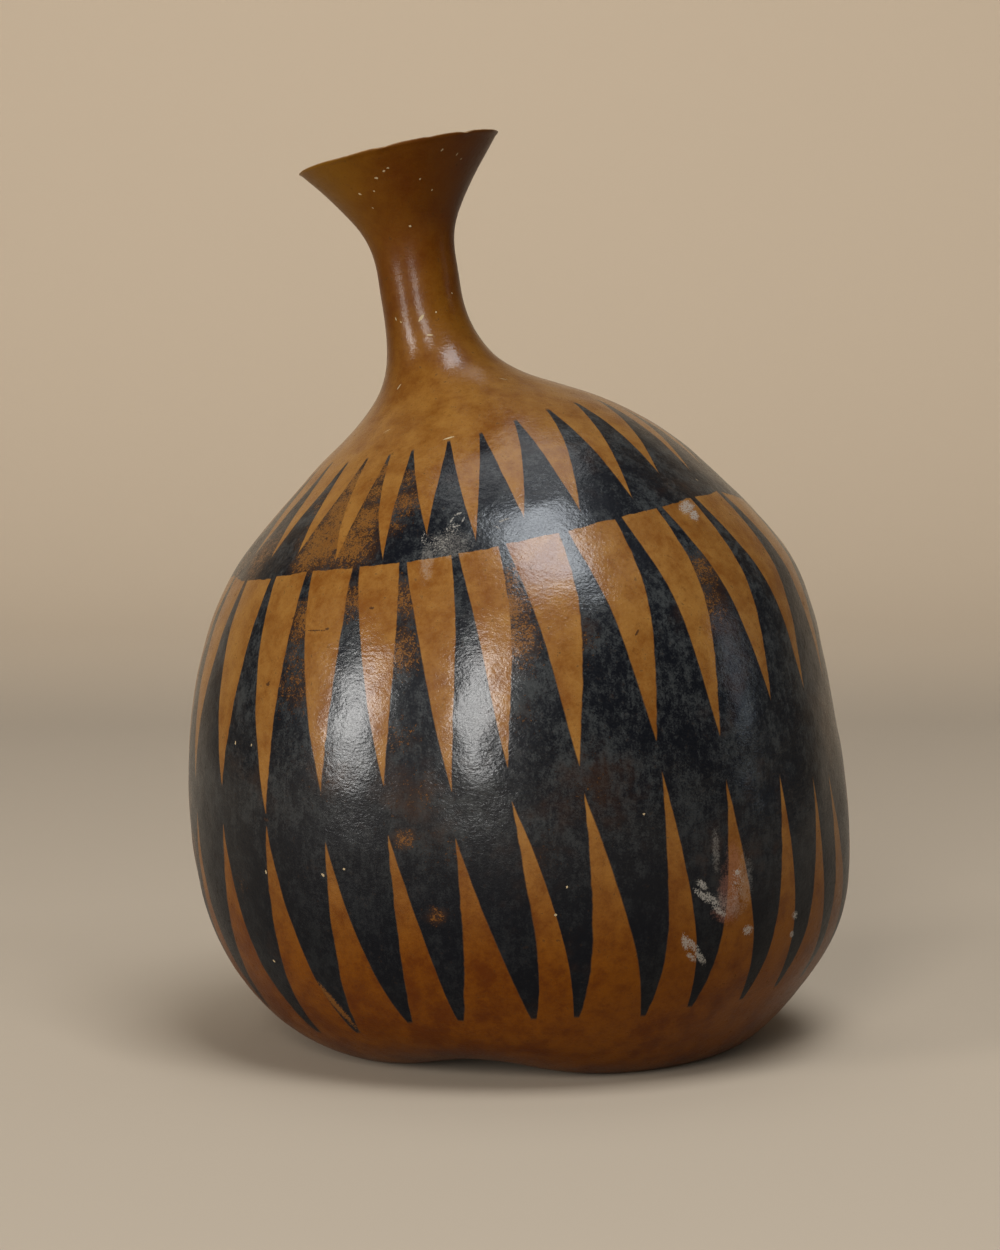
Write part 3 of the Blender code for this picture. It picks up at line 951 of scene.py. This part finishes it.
def put_gloss(graph, grains, matt):
    """A sheen all over, and a polish that is weak on the foot and the mouth and where the skin is matt."""
    inputs = graph.shader.inputs
    rough = graph.mixed((grains.patchy, grains.speck, matt), ROUGHNESS_SHARES, SKIN_ROUGHNESS)
    graph.put(inputs["Roughness"], rough)
    inputs["Specular IOR Level"].default_value = SKIN_SPECULAR
    above_the_foot = graph.rise(graph.height, *POLISHED_FROM)
    below_the_mouth = graph.rise(graph.height, *POLISHED_TO)
    polish = graph.maths("MINIMUM", above_the_foot, below_the_mouth)
    polish = graph.maths("MULTIPLY", polish, graph.maths("SUBTRACT", 1.0, matt))
    specked = graph.maths("MULTIPLY_ADD", grains.speck, POLISH_SPECKED, POLISH_EVEN)
    polish = graph.maths("MULTIPLY", polish, specked)
    graph.put(inputs["Coat Weight"], graph.maths("ADD", polish, POLISH_LEAST))
    inputs["Coat Roughness"].default_value = POLISH_ROUGHNESS


def put_relief(graph):
    """The skin's pores, pebbling and slow swells, under the polish too."""
    normal = None
    for noise, depth in RELIEF:
        normal = graph.bump(graph.noise(*noise), depth, normal)
    graph.put(graph.shader.inputs["Normal"], normal)
    graph.put(graph.shader.inputs["Coat Normal"], normal)


def skin_material(surface):
    """The polished skin with its paint, wear and small marks."""
    graph = Graph("gourd_skin")
    grains = Grains(graph)
    chalk = chalk_marks(graph, surface, grains)
    scar = blossom_scar(graph, surface, grains)
    colour = marked(graph, surface, grains, painted_skin(graph, surface, grains), chalk, scar)
    graph.put(graph.shader.inputs["Base Color"], colour)
    put_gloss(graph, grains, graph.maths("MAXIMUM", chalk, scar))
    put_relief(graph)
    return graph.material


def pulp_material(name, dark, light, fibres):
    """Bare dried flesh: the scraped inside, and the cut edge of the rim."""
    graph = Graph(name)
    fibre = graph.noise(fibres, *FIBRE_FINENESS)
    share = graph.mixed((fibre, graph.noise(*PULP_NOISE)), PULP_SHARES)
    graph.put(graph.shader.inputs["Base Color"], graph.blend(graph.rise(share, *PULP_SPAN), dark, light))
    graph.shader.inputs["Roughness"].default_value = PULP_ROUGHNESS
    graph.put(graph.shader.inputs["Normal"], graph.bump(fibre, FIBRE_DEPTH))
    return graph.material


def plain_material(name, colour, roughness):
    graph = Graph(name)
    graph.shader.inputs["Base Color"].default_value = colour
    graph.shader.inputs["Roughness"].default_value = roughness
    return graph.material


def add_gourd():
    """The gourd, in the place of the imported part's own shell."""
    surface = Skin()
    mesh = gourd_mesh(surface)
    mesh.materials.append(skin_material(surface))
    mesh.materials.append(pulp_material("gourd_rim", RIM_DARK, RIM_LIGHT, RIM_FIBRES))
    mesh.materials.append(pulp_material("gourd_inside", PULP_DARK, PULP_LIGHT, INSIDE_FIBRES))
    mesh.materials.append(plain_material("gourd_fleck", FLECK_CREAM, FLECK_ROUGHNESS))
    gourd = bpy.data.objects.new("gourd_shell", mesh)
    bpy.context.scene.collection.objects.link(gourd)
    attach(gourd, "root")
    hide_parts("gourd")


def add_camera():
    """The camera at the photograph's viewing angle."""
    camera = bpy.data.objects.new("camera", bpy.data.cameras.new("camera"))
    camera.data.sensor_width = SENSOR_MM
    camera.data.lens = SENSOR_MM * FOCAL_PIXELS / FRAME_HEIGHT
    camera.data.clip_start = NEAREST_SEEN
    camera.matrix_world = camera_matrix()
    bpy.context.scene.collection.objects.link(camera)
    bpy.context.scene.camera = camera


def add_backdrop():
    """A pale floor that curves up into a wall well behind the gourd."""
    profile = [(-FLOOR_FRONT, 0.0), (WALL_BEHIND, 0.0)]
    for step in range(1, CURVE_STEPS + 1):
        turn = math.pi / 2 * step / CURVE_STEPS
        profile.append((WALL_BEHIND + WALL_CURVE * math.sin(turn), WALL_CURVE * (1 - math.cos(turn))))
    profile.append((WALL_BEHIND + WALL_CURVE, WALL_HEIGHT))
    points = [(side * FLOOR_SIDE, y, z) for y, z in profile for side in (-1, 1)]
    faces = [(2 * i, 2 * i + 1, 2 * i + 3, 2 * i + 2) for i in range(len(profile) - 1)]
    mesh = bpy.data.meshes.new("backdrop")
    mesh.from_pydata(points, [], faces)
    mesh.shade_smooth()
    mesh.materials.append(plain_material("backdrop", BACKDROP_COLOUR, BACKDROP_ROUGHNESS))
    backdrop = bpy.data.objects.new("backdrop", mesh)
    bpy.context.scene.collection.objects.link(backdrop)


def add_light(name, place, aim, size, watts, colour):
    """A soft rectangular light that faces the point it is aimed at."""
    lamp = bpy.data.lights.new(name, "AREA")
    lamp.shape = "RECTANGLE"
    lamp.size, lamp.size_y = size
    lamp.energy = watts
    lamp.color = colour
    light = bpy.data.objects.new(name, lamp)
    turn = (aim - place).to_track_quat("-Z", "Y").to_matrix().to_4x4()
    light.matrix_world = Matrix.Translation(place) @ turn
    bpy.context.scene.collection.objects.link(light)


def round_the_gourd(azimuth_deg, elevation_deg, distance):
    """A place seen from the gourd at an azimuth from the camera's side towards +X."""
    azimuth, elevation = math.radians(azimuth_deg), math.radians(elevation_deg)
    level = distance * math.cos(elevation)
    offset = level * math.sin(azimuth), -level * math.cos(azimuth), distance * math.sin(elevation)
    return Vector(LIGHTS_AIM) + Vector(offset)


def add_lights():
    for name, azimuth, elevation, distance, width, height, watts, colour in LIGHTS:
        place = round_the_gourd(azimuth, elevation, distance)
        add_light(name, place, Vector(LIGHTS_AIM), (width, height), watts, colour)
    add_light("wall_wash", Vector(WASH_AT), Vector(WASH_AIM), WASH_SIZE, WASH_WATTS, AMBIENT_COLOUR[:3])
    world = bpy.data.worlds.new("studio")
    world.use_nodes = True
    background = world.node_tree.nodes["Background"]
    background.inputs["Color"].default_value = AMBIENT_COLOUR
    background.inputs["Strength"].default_value = AMBIENT_STRENGTH
    bpy.context.scene.world = world
    bpy.context.scene.view_settings.view_transform = "Standard"


add_gourd()
add_camera()
add_backdrop()
add_lights()
